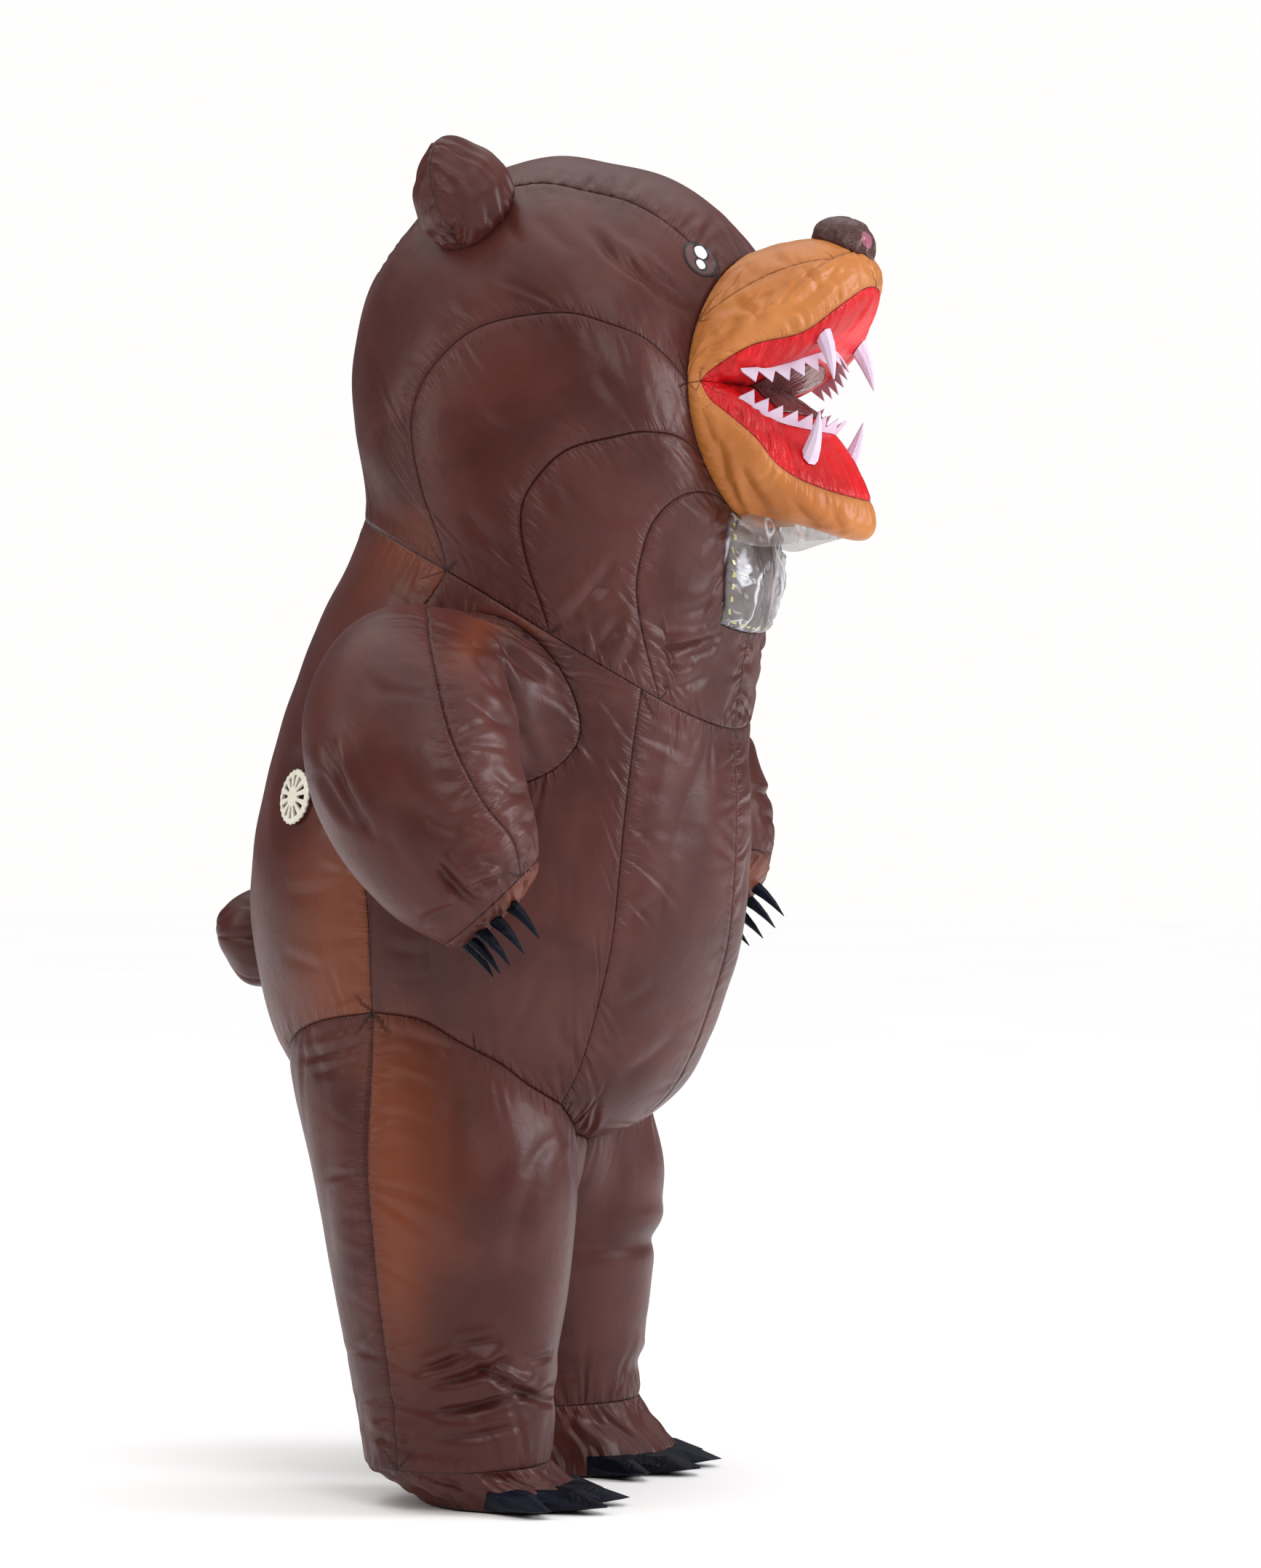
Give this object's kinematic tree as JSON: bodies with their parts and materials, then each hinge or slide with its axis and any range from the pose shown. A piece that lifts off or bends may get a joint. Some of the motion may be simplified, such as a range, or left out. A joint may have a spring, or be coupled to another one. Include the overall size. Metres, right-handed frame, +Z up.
{
  "type": "inflatable bear costume",
  "caption": "Whole-body inflatable bear costume, blown up and upright: hollow cloth body, head with open mouth, bent sleeves, straight legs, round tail.",
  "frame": {"origin": "the wearer's shoulders, on the costume's middle line, 1.40 m above the soles", "axes": "+Z up, the bear faces -Y, its left is +X"},
  "size_m": [1.531, 1.2019, 2.2669],
  "materials": {
    "brown": "thin coated nylon, satin",
    "tan": "thin coated nylon, satin",
    "red": "thin coated nylon, satin",
    "dark": "coated cloth, glossy",
    "black": "stuffed cloth, satin",
    "white": "felt, matt",
    "cream": "moulded, satin",
    "clear": "soft clear vinyl, glossy"
  },
  "bodies": {
    "root": {"back_right": "brown", "back_left": "brown", "side_right": "brown", "side_left": "brown", "belly_right": "brown", "belly_left": "brown", "head_side_right": "brown", "head_side_left": "brown", "cheek_right": "brown", "cheek_left": "brown", "jowl_right": "brown", "jowl_left": "brown", "throat_right": "brown", "throat_left": "brown", "ear_front_right": "brown", "ear_front_left": "brown", "ear_back_right": "brown", "ear_back_left": "brown", "sleeve_front_right": "brown", "sleeve_front_left": "brown", "sleeve_back_right": "brown", "sleeve_back_left": "brown", "palm_right": "brown", "palm_left": "brown", "leg_front_right": "brown", "leg_front_left": "brown", "leg_back_right": "brown", "leg_back_left": "brown", "foot_cover_right": "brown", "foot_cover_left": "brown", "crown": "brown", "tail": "brown", "muzzle_bridge": "tan", "jaw": "tan", "muzzle_side_right": "tan", "muzzle_side_left": "tan", "palate": "red", "mouth_floor": "red", "nose": "dark", "throat_patch": "dark", "claw_right_1": "black", "claw_right_2": "black", "claw_right_3": "black", "claw_right_4": "black", "claw_right_5": "black", "claw_left_1": "black", "claw_left_2": "black", "claw_left_3": "black", "claw_left_4": "black", "claw_left_5": "black", "toe_claws_right": "black", "toe_claws_left": "black", "teeth_upper": "white", "teeth_lower": "white", "canine_upper_right": "white", "canine_upper_left": "white", "canine_lower_right": "white", "canine_lower_left": "white", "fan_cover": "cream", "window": "clear"}
  },
  "joints": []
}
